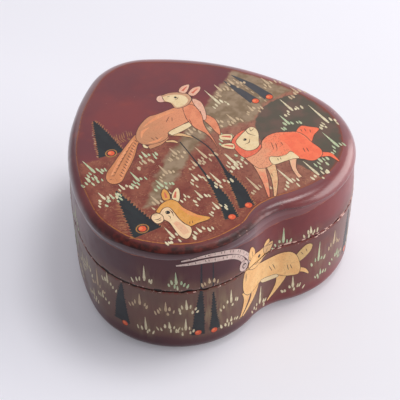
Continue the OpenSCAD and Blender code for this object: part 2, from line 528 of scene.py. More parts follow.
def pulp_material(name, outside=None):
    """Black lacquer on the box's inner faces, and bare pulp with chalk on its rims. The same black covers the
    pulp's outer faces behind the skins, and shows in the seam's gap as a dark line: painted shade there.
    outside is the colour of a face that looks straight down onto the table."""
    shader = Shader(name)
    black = shader.mix(shader.noise(6, 5), srgb(26, 18, 18), srgb(44, 30, 28))
    pulp = shader.mix(shader.patches(1.2, 6, 0.4, 0.6), srgb(116, 82, 62), srgb(150, 112, 90))
    rim = shader.mix(shader.patches(1.8, 4, 0.54, 0.60, 0.8), pulp, CHALK)
    rim = shader.mix(shader.patches(3.5, 4, 0.46, 0.62, 0.85), rim, DIRT)
    height = shader.axis(2)
    below = shader.step(height, (SEAM_Z + 1.5) * MM, (SEAM_Z + 0.6) * MM)
    above = shader.step(height, (SEAM_Z - 1.5) * MM, (SEAM_Z - 0.6) * MM)
    flat = shader.add("ShaderNodeMath", {0: shader.facing_up()}, operation="ABSOLUTE").outputs[0]
    on_rim = shader.times(shader.step(flat, 0.6, 0.8), shader.times(below, above))
    # The black also lies on the outer faces behind the skins, where it is painted shade of the seam's gap
    color = shader.mix(on_rim, black, rim)
    if outside:
        under = shader.mix(shader.patches(5, 5, 0.55, 0.7), outside, srgb(70, 40, 36))
        color = shader.mix(shader.step(shader.facing_up(), -0.6, -0.8), color, under)
    roughness = shader.plus(shader.span(shader.noise(4, 4), 0.34, 0.5), shader.times(on_rim, 0.4))
    return shader.finish(color, roughness, shader.noise(0.9, 6), 0.06)


# ---- Meshes ----

def make_piece(name, body, points, faces, materials, kinds=None, fields=None):
    """A mesh from points in millimetres, smooth but for its sharp edges, riding on its body."""
    mesh = bpy.data.meshes.new(name)
    mesh.from_pydata([p * MM for p in points], [], faces)
    for field, values in (fields or {}).items():
        mesh.attributes.new(field, "FLOAT", "POINT").data.foreach_set("value", values)
    for material in materials:
        mesh.materials.append(material)
    if kinds:
        mesh.polygons.foreach_set("material_index", kinds)
    form = bmesh.new()
    form.from_mesh(mesh)
    bmesh.ops.recalc_face_normals(form, faces=form.faces)
    for face in form.faces:
        face.smooth = True
    for edge in form.edges:
        edge.smooth = edge.calc_face_angle(0) < SHARP
    form.to_mesh(mesh)
    form.free()
    piece = bpy.data.objects.new(name, mesh)
    bpy.context.scene.collection.objects.link(piece)
    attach(piece, body)
    return piece


def sweep(profile, closed):
    """Points and faces of a band whose cross-section at s is profile(s), a list of (inset, z)."""
    points = []
    for i in range(COLUMNS):
        s = AROUND * i / COLUMNS
        points += [on_outline(s, inset, z) for inset, z in profile(s)]
    rows = len(points) // COLUMNS
    faces = []
    for i in range(COLUMNS):
        here, there = i * rows, (i + 1) % COLUMNS * rows
        for j in range(rows if closed else rows - 1):
            k = (j + 1) % rows
            faces.append((here + j, there + j, there + k, here + k))
    return points, faces


def lattice(points, step):
    """A grid of points over the box of the given ones."""
    xs, ys = [p[0] for p in points], [p[1] for p in points]
    across = int((max(xs) - min(xs)) / step)
    along = int((max(ys) - min(ys)) / step)
    return [
        Vector((min(xs) + (i + 0.5) * step, min(ys) + (j + 0.5) * step))
        for i in range(across) for j in range(along)
    ]


def cap(points, faces, loop, height):
    """Fills a loop of the points with a net of triangles at height(x, y)."""
    flat = [points[i].to_2d() for i in loop]
    spots, _, triangles, origins, _, _ = geometry.delaunay_2d_cdt(
        flat + lattice(flat, CAP_STEP), [], [list(range(len(loop)))], 1, 1e-5)
    index = {}
    for n, origin in enumerate(origins):
        rim = [i for i in origin if i < len(loop)]
        if rim:
            index[n] = loop[rim[0]]
    for n in sorted({n for triangle in triangles for n in triangle} - set(index)):
        index[n] = len(points)
        points.append(Vector((*spots[n], height(*spots[n]))))
    faces += [tuple(index[n] for n in triangle) for triangle in triangles]


def spread(low, high, count):
    return [low + (high - low) * i / count for i in range(count + 1)]


def base_profile(s):
    edge = base_edge(s)
    rows = [(base_inset(s, edge) + 0.09, edge)]
    rows += [(base_inset(s, z), z) for z in spread(edge - 0.12, FOOT_R, 22)]
    sag = dents(s, FOOT_R)
    for turn in spread(0, FOOT_TURN, 12)[1:]:
        reach = FOOT_R - sag * (1 - turn / FOOT_TURN)
        rows.append((foot_inset() + FOOT_R - reach * math.cos(turn), FOOT_R - reach * math.sin(turn)))
    core = FOOT_R - PAPER + CLEAR
    for turn in spread(FOOT_TURN, 0, 8):
        rows.append((foot_inset() + FOOT_R - core * math.cos(turn), FOOT_R - core * math.sin(turn)))
    rows.append((PAPER - CLEAR + BASE_DRAFT * (1 - edge / SEAM_Z), edge))
    return rows


def lid_side_profile(s):
    edge, top = lid_edge(s), min(lap_edge(s) + 0.3, BEAD_Z - CLEAR)
    rows = [(lid_inset(s, edge) + 0.09, edge)]
    rows += [(lid_inset(s, z), z) for z in spread(edge + 0.12, top, 12)]
    return rows + [(pulp_inset(z), z) for z in (top, edge)]


def lumps(s):
    """Uneven lumps of the lid's edge, beside the hollow."""
    point, _ = outline(s)
    near = 0.25 + 0.75 * smooth(from_front(s, 304), 20, 8)
    return near * wave((point.x, point.y, 3), 3.6) * 0.2


def lid_top_profile(s):
    point, out = outline(s)
    lump = lumps(s)
    start, width, height = edge_round(s)
    rows = [(start + width + 1.0, crown(*(point - out * (start + width + 1.0))))]
    for i, turn in enumerate(spread(math.pi / 2, math.radians(4), 13)):
        share = smooth(i, 3, 12)
        inset = start + width * (1 - math.cos(turn))
        z = crown(*(point - out * inset)) - height * (1 - math.sin(turn)) - abs(lump) * share
        rows.append((inset + share * (0.05 + max(0.0, lump)), z))
    edge, low = rows[-1]
    deep, top = neck(s)
    for z in spread(low, top, 5)[1:]:
        share = smooth(z, low, top)
        rows.append((min(edge + (deep - edge) * share, pulp_inset(z) - CLEAR), z))
    lap = lap_edge(s)
    rows += [(upper_inset(s, z), z) for z in spread(top, lap, 7)[1:]]
    rows.append((lid_inset(s, lap) + 0.03, lap - 0.03))
    rows.append((pulp_inset(lap), lap))
    core = LID_BOARD_R + CLEAR
    rows.append((BEAD_R - core, max(BEAD_Z, lap + 0.05)))
    for turn in spread(math.radians(6), math.pi / 2, 8):
        rows.append((BEAD_R - core * math.cos(turn), BEAD_Z + core * math.sin(turn)))
    return rows


# Painted shade: how much darker and more purple the walls are painted, most round the left lobe, which faces
# away from the window
PAINTED_SHADE_KEYS = [(0, 0.25), (20, 0.0), (120, 0.2), (225, 0.4), (240, 0.9), (290, 1.0), (303, 0.6)]
# How darkly the lid's edge is stained
STAIN_KEYS = [(2, 0.35), (8, 0.1), (22, 0.0), (230, 0.0), (246, 0.6), (258, 1.0), (296, 1.0)]
# Places where the lid's edge is rubbed down: beside the hollow, and on the right shoulder
RUBBED = [(4, 3.5), (14, 2.5), (300, 5), (292, 3), (82, 5), (66, 2)]
# Heights over which the walls' painted field begins, and over which it ends
FIELD_FOOT = (6.2, 9.4)
FIELD_TOP = (36.5, 31.5)
GLOW_TOP = 42         # no glow of the grass reaches above this
STAIN_TOP = (49.75, 49.2)


def wall_fields(points):
    """How strongly each point of a skin carries the painted ground, its glow and its wear."""
    values = {}
    for p in points:
        inset, s = nearest(p.x, p.y)
        _, top = neck(s)
        rough = p.z + 0.8 * wave((p.x, p.y, p.z), 7)
        right = smooth(from_front(s, 14), 26, 8)
        stain = smooth(p.z, top - 0.3, top + 0.3) * smooth(p.z, *STAIN_TOP)
        rub = max(smooth(from_front(s, place), reach, 0) for place, reach in RUBBED)
        here = {
            "ground": (0.92 - 0.5 * right) * smooth(rough, *FIELD_FOOT) * smooth(rough, *FIELD_TOP),
            # painted shade on the walls away from the window, fading out near the top
            "painted_shade": by_keys(s, PAINTED_SHADE_KEYS) * smooth(p.z, BOX_H - 1, BOX_H - 3),
            "glow": glow_at(s, p.z) if p.z < GLOW_TOP else 0.0,
            "lip": by_keys(s, STAIN_KEYS) * stain,
            # painted shade in the hollow under the lid's edge, strongest where the edge is a thin lip
            "neck": by_keys(s, LIP_KEYS) * smooth(abs(p.z - top), 0.6, 0.15),
            "worn": smooth(abs(p.z - SEAM_Z), 1.1, 0.25) if p.z < BEAD_Z else 0.0,
            "rubbed": rub * smooth(p.z, BEAD_Z, BEAD_Z + 1.5) if inset < 4 else 0.0,
        }
        for name, value in here.items():
            values.setdefault(name, []).append(value)
    return values


def make_skins():
    for name, body, node, profile, color in (
            ("base_skin", "base", "base_paper", base_profile, "wall_lacquer"),
            ("lid_side_skin", "lid", "lid_side_paper", lid_side_profile, "lid_wall_lacquer")):
        points, faces = sweep(profile, True)
        piece = make_piece(name, body, points, faces, [skin_material(color)], None, wall_fields(points))
        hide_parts(node)
    points, faces = sweep(lid_top_profile, False)
    rows = len(points) // COLUMNS
    board_top = BEAD_Z + LID_BOARD_R + CLEAR
    cap(points, faces, [i * rows for i in range(COLUMNS)], crown)
    cap(points, faces, [i * rows + rows - 1 for i in range(COLUMNS)], lambda x, y: board_top)
    lacquer = skin_material("top_lacquer", EDGE_COAT)
    piece = make_piece("lid_top_skin", "lid", points, faces, [lacquer], None, wall_fields(points))
    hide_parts("lid_top_paper")


# ---- Brushwork: flat shapes that coat() lays on a surface ----

def through(corners, cuts):
    """Points on a smooth curve through the middle ones of the given corners."""
    made = []
    for a, b, c, d in zip(corners, corners[1:], corners[2:], corners[3:]):
        for j in range(cuts):
            t = j / cuts
            made.append(0.5 * (2 * b + (c - a) * t + (2 * a - 5 * b + 4 * c - d) * t * t
                               + (3 * b - a - 3 * c + d) * t ** 3))
    return made


def blob(corners, cuts=3):
    """A closed curve drawn smoothly through the corners."""
    ring = [Vector(p) for p in corners]
    return through([ring[-1]] + ring + ring[:2], cuts)


def curved(route, cuts=4):
    """More points along a route, on a smooth curve."""
    line = [Vector(p) for p in route]
    return through([line[0]] + line + [line[-1]], cuts) + [line[-1]]


def along_keys(keys, share):
    """The value at a share of the way along evenly spaced keys."""
    at = share * (len(keys) - 1)
    k = min(int(at), len(keys) - 2)
    return keys[k] + (keys[k + 1] - keys[k]) * (at - k)


def limb(route, widths, cuts=4):
    """A smooth brush stroke whose width changes along it."""
    line = curved(route, cuts)
    last = len(line) - 1
    left, right = [], []
    for i, here in enumerate(line):
        ahead = (line[min(i + 1, last)] - line[max(i - 1, 0)]).normalized()
        across = Vector((-ahead.y, ahead.x)) * along_keys(widths, i / last) / 2
        left.append(here + across)
        right.append(here - across)
    return left + right[::-1]


def hair(*route, width=0.3):
    """A fine dark mark, thickest in its middle."""
    return ("line", limb(route, [0.1, width, 0.1], 3))


def disc(x, y, across, tall=None):
    tall = tall or across
    return [Vector((x + across / 2 * math.cos(math.tau * i / 14), y + tall / 2 * math.sin(math.tau * i / 14)))
            for i in range(14)]


def anticlockwise(loop):
    area = sum(a.x * b.y - b.x * a.y for a, b in zip(loop, loop[1:] + loop[:1]))
    return loop if area > 0 else loop[::-1]


def grown(loop, margin):
    """The loop pushed out by margin, a little unevenly."""
    loop = anticlockwise(loop)
    made = []
    for i, here in enumerate(loop):
        ahead = (loop[(i + 1) % len(loop)] - loop[i - 1]).normalized()
        wide = margin * (1 + 0.6 * noise.noise(Vector((here.x, here.y, 2)) / 2))
        made.append(here + Vector((ahead.y, -ahead.x)) * wide)
    return made


def outlined(shapes, margin=0.2, key="line"):
    """Each shape over a dark line of its own."""
    return [layer for shape in shapes for layer in ((key, grown(shape[1], margin)), shape)]


def clip(loop, limit, above):
    """The part of a loop above or below a height."""
    way = 1 if above else -1
    made = []
    for i, here in enumerate(loop):
        before = loop[i - 1]
        a, b = way * (before.y - limit), way * (here.y - limit)
        if a * b < 0:
            made.append(before.lerp(here, a / (a - b)))
        if b >= 0:
            made.append(here)
    return made


def winds_round(loop, spot):
    turns = 0
    for a, b in zip(loop, loop[1:] + loop[:1]):
        rising = b.y > a.y
        if (a.y > spot.y) != (b.y > spot.y) and ((b - a).cross(spot - a) > 0) == rising:
            turns += 1 if rising else -1
    return turns != 0


def on_top(flat, triangles, layers):
    """The triangles that lie in a layer, each with the paint of the topmost one."""
    boxes = [(min(p.x for p in loop), max(p.x for p in loop), min(p.y for p in loop), max(p.y for p in loop))
             for _, loop in layers]
    kept = []
    for triangle in triangles:
        spot = sum((flat[n] for n in triangle), Vector((0, 0))) / 3
        for (x0, x1, y0, y1), (key, loop) in zip(reversed(boxes), reversed(layers)):
            if x0 < spot.x < x1 and y0 < spot.y < y1 and winds_round(loop, spot):
                kept.append((triangle, key))
                break
    return kept


def coat(name, body, surface, layers, lift, step=0.0, fields=None, more=()):
    """One closed coat of paint on a surface. Layers are (name of the paint, loop), and a later one covers
    those before it. step spaces the points that fill a layer, and more lists further ones."""
    layers = [(key, loop) for key, loop in layers if len(loop) > 2]
    spots, ties = list(more), []
    for _, loop in layers:
        first, count = len(spots), len(loop)
        ties += [(first + i, first + (i + 1) % count) for i in range(count)]
        spots += loop
        if step and max(p.x for p in loop) - min(p.x for p in loop) > step:
            spots += lattice(loop, step)
    flat, _, triangles, _, _, _ = geometry.delaunay_2d_cdt(spots, ties, [], 0, 1e-4)
    kept = on_top(flat, triangles, layers)
    used = sorted({n for triangle, _ in kept for n in triangle})
    number = {n: i for i, n in enumerate(used)}
    under = len(used)
    points = [surface(*flat[n], lift) for n in used] + [surface(*flat[n], -BURIED) for n in used]
    names = sorted({key for _, key in kept})
    faces, kinds, sides = [], [], {}
    for triangle, key in kept:
        a, b, c = (number[n] for n in triangle)
        faces += [(a, b, c), (c + under, b + under, a + under)]
        kinds += [names.index(key)] * 2
        for start, end in ((a, b), (b, c), (c, a)):
            sides[start, end] = names.index(key)
    for (start, end), kind in sides.items():
        if (end, start) not in sides:
            faces.append((end, start, start + under, end + under))
            kinds.append(kind)
    values = {key: [made(*flat[n]) for n in used] * 2 for key, made in (fields or {}).items()}
    return make_piece(name, body, points, faces, [PAINTS[key] for key in names], kinds, values)


# ---- The painted grounds ----

# Inset of the gold line round the panel, and how much of its gold is left
GOLD_KEYS = [(0, 4.9), (14, 5.8), (30, 5.2), (60, 4.6), (150, 4.4), (212, 3.2), (250, 3.1), (282, 3.7),
             (300, 3.7)]
GOLD_STRENGTH = [(2, 0.9), (14, 0.35), (40, 0.15), (150, 0.1), (210, 0.35), (240, 0.7), (262, 1), (300, 1)]
# Line under which the panel is earth, and the outlines of its grass and its hill
EARTH_EDGE = [(-60, 14), (-30, 8), (-14, 3), (4, 5.4), (14, 10.2), (25, 15.7), (55, 32)]
KHAKI_AREA = [(55, 32), (25, 15.7), (14, 10.2), (4, 5.4), (-11, -3), (-22.4, -10.4), (-33, -20), (-27, -22),
              (-15, -14), (-5, -8), (5, -3.5), (13, -4.5), (21, -7), (30, -2), (55, -2)]
HILL_AREA = [(62, -1), (44, -5), (38.9, -2.7), (32.3, -2.2), (27.2, -3.2), (22.6, -6.6), (18.8, -11.4),
             (17, -17), (17.5, -24), (19.5, -31), (22, -38), (24, -52), (62, -52)]


def panel_inset(s):
    point, _ = outline(s)
    return by_keys(s, GOLD_KEYS) + 0.25 * wave((point.x, point.y, 9), 11)


def panel_loop(inner):
    """The edge of the painted panel, or a line that runs inner within it."""
    made = []
    for i in range(240):
        point, out = outline(AROUND * i / 240)
        made.append(point - out * (panel_inset(AROUND * i / 240) + inner))
    return made


def edge_y(x, keys):
    for (x0, y0), (x1, y1) in zip(keys, keys[1:]):
        if x0 <= x <= x1:
            return y0 + (y1 - y0) * (x - x0) / (x1 - x0)
    return keys[-1][1]


def depth_in(area):
    """A function that says how far inside an area a point lies."""
    corners = [Vector(p) for p in area]

    def depth(x, y):
        spot, best, within = Vector((x, y)), BOX_W, False
        for a, b in zip(corners, corners[1:] + corners[:1]):
            side = b - a
            share = max(0.0, min(1.0, (spot - a).dot(side) / side.dot(side)))
            best = min(best, (spot - a - side * share).length)
            if (a.y > y) != (b.y > y) and x < a.x + (y - a.y) / side.y * side.x:
                within = not within
        return best if within else -best

    return depth


def panel_rim(x, y):
    inset, s = nearest(x, y)
    return inset - panel_inset(s)


def make_panel():
    fields = {"earth": lambda x, y: edge_y(x, EARTH_EDGE) - y, "khaki": depth_in(KHAKI_AREA),
              "hill": depth_in(HILL_AREA), "rim": panel_rim}
    # Closely spaced points let the panel's rim follow the rounded edge under it.
    rim = [point for inner in (0.3, 0.6, 1.0, 1.5) for point in panel_loop(inner)]
    coat("panel_ground", "lid", top_point, [("panel", panel_loop(0))], PANEL_LIFT, 1.4, fields, rim)


def line_round(name, place_at, width, lift, key, strength=None):
    """A painted line right round the lid. place_at(s, across, lift) gives the (inset, z) of its surface."""
    def profile(s):
        spot, _ = outline(s)
        half = width / 2 * (0.75 + 0.5 * abs(noise.noise(Vector((spot.x, spot.y, 4)) / 2.5)))
        corners = ((-half, lift), (half, lift), (half, -BURIED), (-half, -BURIED))
        return [place_at(s, across, out) for across, out in corners]

    points, faces = sweep(profile, True)
    rows = len(points) // COLUMNS
    fields = {}
    if strength:
        fields["strong"] = [by_keys(AROUND * (i // rows) / COLUMNS, strength) for i in range(len(points))]
    make_piece(name, "lid", points, faces, [PAINTS[key]], None, fields)


def gold_place(s, across, lift):
    point, out = outline(s)
    inset = panel_inset(s) + across
    return inset, top_point(*(point - out * inset), lift).z


def lap_place(s, across, lift):
    z = lap_edge(s) + 0.12 + across
    return upper_inset(s, z) - lift, z


# ---- Grass ----

# (x, y, height) of the tall blades on the lid
LID_TUFTS = [
    (-41.1, -9.6, 4.2), (-36.8, 3.1, 7.4), (-27.3, -9.0, 5.8), (-33.4, -9.4, 3.4), (-18.6, -0.8, 3.6),
    (-17.8, -11.6, 5.4), (-9.9, -5.8, 4.4), (-2.6, -12.9, 7.0), (-6.1, -25.5, 6.4), (3.5, -20.4, 6.0),
    (17.3, 6.9, 9.2), (16.1, -3.9, 5.4), (35.7, -10.4, 7.4), (43.0, -4.0, 4.4), (41.8, -22.5, 11.6),
    (36.9, -34.1, 9.0), (30.4, -15.5, 5.9), (13.4, -39.0, 8.2), (22.8, -41.0, 8.4), (3.7, -21.9, 7.4),
    (2.3, -35.3, 7.6), (21.9, 12.1, 4.6), (-32.9, -37.2, 5.8), (-28.0, -21.6, 4.8), (-38.6, -11.0, 2.2),
    (8.6, -8.8, 4.2), (-11.4, -20.0, 4.2), (-15.0, -27.6, 4.6), (27.4, 12.6, 4.0), (24.4, -2.6, 3.4),
    (-22.0, -23.0, 4.4), (-40.6, 0.2, 3.2), (27.6, -36.8, 5.0), (-13.6, -34.8, 4.0), (-20.6, -3.4, 3.2),
    (10.2, -0.8, 3.6), (37.6, 5.6, 4.6), (33.4, -22.4, 4.2), (-24.4, -40.2, 3.0), (0.8, 0.2, 3.4),
    (24.2, -22.2, 4.0), (-7.6, -14.2, 4.0), (-22.4, -15.8, 4.2), (9.0, -17.8, 3.4)]
# (s, z, height) of those on the walls that the photograph shows
BASE_TUFTS = [
    (261.3, 22.2, 5.6), (270.2, 21.2, 4.8), (277.3, 22.0, 5.0), (263.1, 10.2, 6.6), (271.5, 12.5, 3.5),
    (276.9, 11.5, 6.0), (242.4, 19.5, 8.3), (248.2, 25.2, 5.4), (245.0, 15.6, 3.2), (235.0, 22.0, 5.0),
    (229.5, 18.0, 6.0), (19.3, 16.8, 9.8), (26.8, 20.0, 6.8), (9.4, 8.5, 6.0), (293.3, 19.5, 6.6),
    (308.4, 7.0, 9.0), (293.7, 9.8, 2.6), (21.0, 9.0, 3.0), (30.0, 12.0, 3.4), (239.0, 11.0, 4.0)]
WALL_TUFTS = [(263.3, 34.5, 6.7), (273.9, 34.4, 5.4), (4.8, 32.4, 6.8), (285.0, 33.0, 2.4), (15.0, 33.0, 3.4)]


def seen_side(s):
    return s > 226 or s < 38


def more_tufts():
    """The sides that the photograph doesn't show go on with the same grass."""
    rng = random.Random(11)
    base, lid = [], []
    for i in range(26):
        s = 38 + i * 7.3 + rng.uniform(-1.5, 1.5)
        base.append((s, rng.uniform(20, 22.5), rng.uniform(4.2, 6.4)))
        base.append((s + 3.6, rng.uniform(9, 12.5), rng.uniform(3.8, 7.0)))
        if i % 2:
            lid.append((s + 2, rng.uniform(33.6, 34.6), rng.uniform(3.4, 6.6)))
    return [t for t in base if not seen_side(t[0])], [t for t in lid if not seen_side(t[0])]


BACK_BASE, BACK_LID = more_tufts()


def glow_at(s, z):
    """Khaki glow round the foot of each tuft, and between the trees of the left lobe."""
    total = 0.8 * math.exp(-((s - 286) / 6.5) ** 2 - ((z - 19) / 8) ** 2)
    for foot, level, tall in BASE_TUFTS + BACK_BASE + WALL_TUFTS + BACK_LID:
        across = from_front(s, foot)
        if across < 9:
            total += 0.42 * math.exp(-(across / 3.4) ** 2 - ((z - level - 0.1 * tall) / (0.6 * tall)) ** 2)
    return min(0.8, total)


def tuft(x, y, tall, rng, lean):
    """One tall blade among short dabs that step down to both sides, and lean outwards by lean."""
    paint = rng.choice(("blade", "blade", "blade_green", "blade_dim"))
    foot = Vector((x, y))
    tip = foot + Vector((rng.uniform(-0.3, 0.1), tall))
    made = [(paint, limb([foot, foot.lerp(tip, 0.2), foot.lerp(tip, 0.5), tip], [0.5, 1.0, 0.7, 0.1], 3))]
    dabs = [(side * (0.3 + 1.1 * k), 0.7 - 0.8 * k, side * k)
            for side in (-1, 1) for k in range(1, rng.choice((3, 4)))]
    dabs += [(across, -2.2, 0) for across in rng.sample((-2.0, -0.8, 0.6, 1.9), rng.choice((0, 1, 2)))]
    for across, up, turn in dabs:
        size = rng.uniform(1.2, 2.1)
        low = foot + Vector((across + rng.uniform(-0.35, 0.35), up + rng.uniform(-0.6, 0.6)))
        high = low + Vector((turn * lean + rng.uniform(-0.2, 0.2), size))
        wide = rng.uniform(0.55, 0.95)
        made.append((paint, limb([low, low.lerp(high, 0.45), high], [wide * 0.6, wide, wide * 0.35], 3)))
    return made


def grass(tufts, seed, lean):
    rng = random.Random(seed)
    return [shape for x, y, tall in tufts for shape in tuft(x, y, tall, rng, lean)]


# ---- Trees ----

def cypress(route, widths, jag, seed, lean=0.5):
    """A tree along a route, its sides ragged with small upward strokes."""
    rng = random.Random(seed)
    line = curved(route, 18)
    last = len(line) - 1
    left, right = [], []
    for i, here in enumerate(line):
        wide = along_keys(widths, i / last)
        ahead = (line[min(i + 1, last)] - line[max(i - 1, 0)]).normalized()
        across = Vector((-ahead.y, ahead.x))
        for edge, way in ((left, 1), (right, -1)):
            tooth = min(jag, wide * 0.3) * (rng.uniform(0.2, 1.2) if i % 2 else -0.5)
            edge.append(here + across * way * (wide / 2 + tooth) - ahead * tooth * lean)
    return left + right[::-1]


def tree(route, widths, seed, jag=0.45, halo=0.8):
    """A dark tree over a ragged fringe of brown strokes."""
    made = [("halo", cypress(route, [w + halo for w in widths], jag * 1.5, seed + 50))] if halo else []
    return made + [("cypress", cypress(route, widths, jag, seed))]


def berry(x, y, size, ringed=False):
    made = [("line", disc(x, y, size * 1.2))]
    if ringed:
        made = [("ring", disc(x, y, size * 1.75, size * 1.6)),
                ("cypress", disc(x, y, size * 1.4, size * 1.25))]
    light = disc(x - size * 0.12, y + size * 0.14, size * 0.5)
    return made + [("berry", disc(x, y, size)), ("berry_light", light)]


def whiskers(start, end, reach, count, seed, key="halo"):
    """A row of fine strokes that stand out to one side of a tree."""
    rng = random.Random(seed)
    start, end, reach = Vector(start), Vector(end), Vector(reach)
    made = []
    for i in range(count):
        foot = start.lerp(end, (i + rng.uniform(-0.3, 0.3)) / (count - 1))
        tip = foot + reach * rng.uniform(0.5, 1.0)
        made.append((key, limb([foot, foot.lerp(tip, 0.5), tip], [0.3, 0.38, 0.08], 2)))
    return made


def lid_trees():
    shapes = whiskers((-23.4, 12.5), (-16.6, 11.2), (1.6, 3.6), 9, 61, "bush")
    shapes += whiskers((-23.2, 10.4), (-17.8, 9.6), (-0.4, 2.6), 7, 62, "bush")
    shapes += whiskers((-38.6, -15.5), (-43.8, -26.5), (-2.6, 2.0), 16, 63)
    shapes += whiskers((-25.6, 20.0), (-31.4, 9.0), (-1.1, 1.0), 12, 64, "blade_dim")
    shapes += [("cypress", limb([(-5.3, -0.9), (-6.2, -9.0), (-7.9, -20.6)], [0.35, 0.42, 0.8])),
               ("cypress", limb([(-0.2, -0.6), (1.0, -10.0), (-1.4, -22.0)], [0.35, 0.5, 1.0]))]
    shapes += tree([(-23.0, 25.2), (-25.0, 16.5), (-27.4, 7.4)], [0.2, 5.2, 9.4], 2)
    shapes += tree([(-36.0, -8.2), (-37.6, -19.6), (-38.6, -30.0)], [0.3, 5.4, 10.4], 3, 0.6)
    shapes += tree([(-7.9, -19.8), (-9.7, -31.0), (-12.8, -40.6)], [0.6, 3.6, 4.8], 4)
    shapes += tree([(-1.3, -21.2), (-2.8, -30.5), (-5.6, -39.2)], [0.8, 4.2, 5.2], 5)
    shapes += [("far_tree", limb([(25.7, 16.6), (27.0, 8.6), (27.9, 1.6)], [0.1, 2.7, 3.6])),
               ("far_tree", limb([(29.8, 17.6), (32.0, 9.0), (33.3, 0.4)], [0.1, 2.7, 3.8]))]
    shapes += whiskers((29.0, 15.0), (31.0, 0.0), (0.2, -2.0), 6, 65, "blade_dim")
    shapes += berry(-27.2, 8.0, 2.4, True) + berry(-38.9, -27.7, 2.6, True)
    for x, y in ((-12.4, -40.2), (-4.8, -39.0), (28.3, 1.2), (33.5, 0.2)):
        shapes += berry(x, y, 2.4)
    return shapes


def wall_trees():
    """(route, widths, berry) of the trees on the base: those seen in front, then the ones behind."""
    trees = [([(254.7, 29.6), (253.8, 20.4), (253.8, 10.4)], [0.3, 3.8, 6.6], (254.9, 9.8)),
             ([(282.1, 30.7), (281.6, 20.0), (281.2, 8.6)], [0.7, 3.2, 4.8], (281.2, 9.6)),
             ([(286.3, 28.5), (286.8, 17.0), (287.2, 9.6)], [0.4, 2.0, 4.2], (287.0, 9.0)),
             ([(36.6, 28.4), (37.2, 18.0), (37.4, 8.0)], [0.4, 3.6, 5.0], (37.4, 8.6))]
    for s in (62, 84, 112, 140, 168, 192, 216):
        trees.append(([(s, 29.8), (s + 0.3, 20.0), (s, 10.0)], [0.3, 3.2, 5.2], (s, 9.6)))
    return trees


def base_trees():
    shapes = []
    for n, (route, widths, (s, z)) in enumerate(wall_trees()):
        shapes += tree(route, widths, 20 + n, 0.4, 0) + berry(s, z, 2.3)
    return shapes


def lid_stems():
    """The thin tree tops that run up across the seam onto the lid's wall."""
    return [("stem", limb([(282.3, 42.4), (282.2, 36.0), (282.1, 31.0)], [0.5, 0.7, 0.8])),
            ("stem", limb([(286.3, 42.2), (286.3, 37.0), (286.2, 31.0)], [0.3, 0.5, 0.55]))]


# ---- The painted figures ----

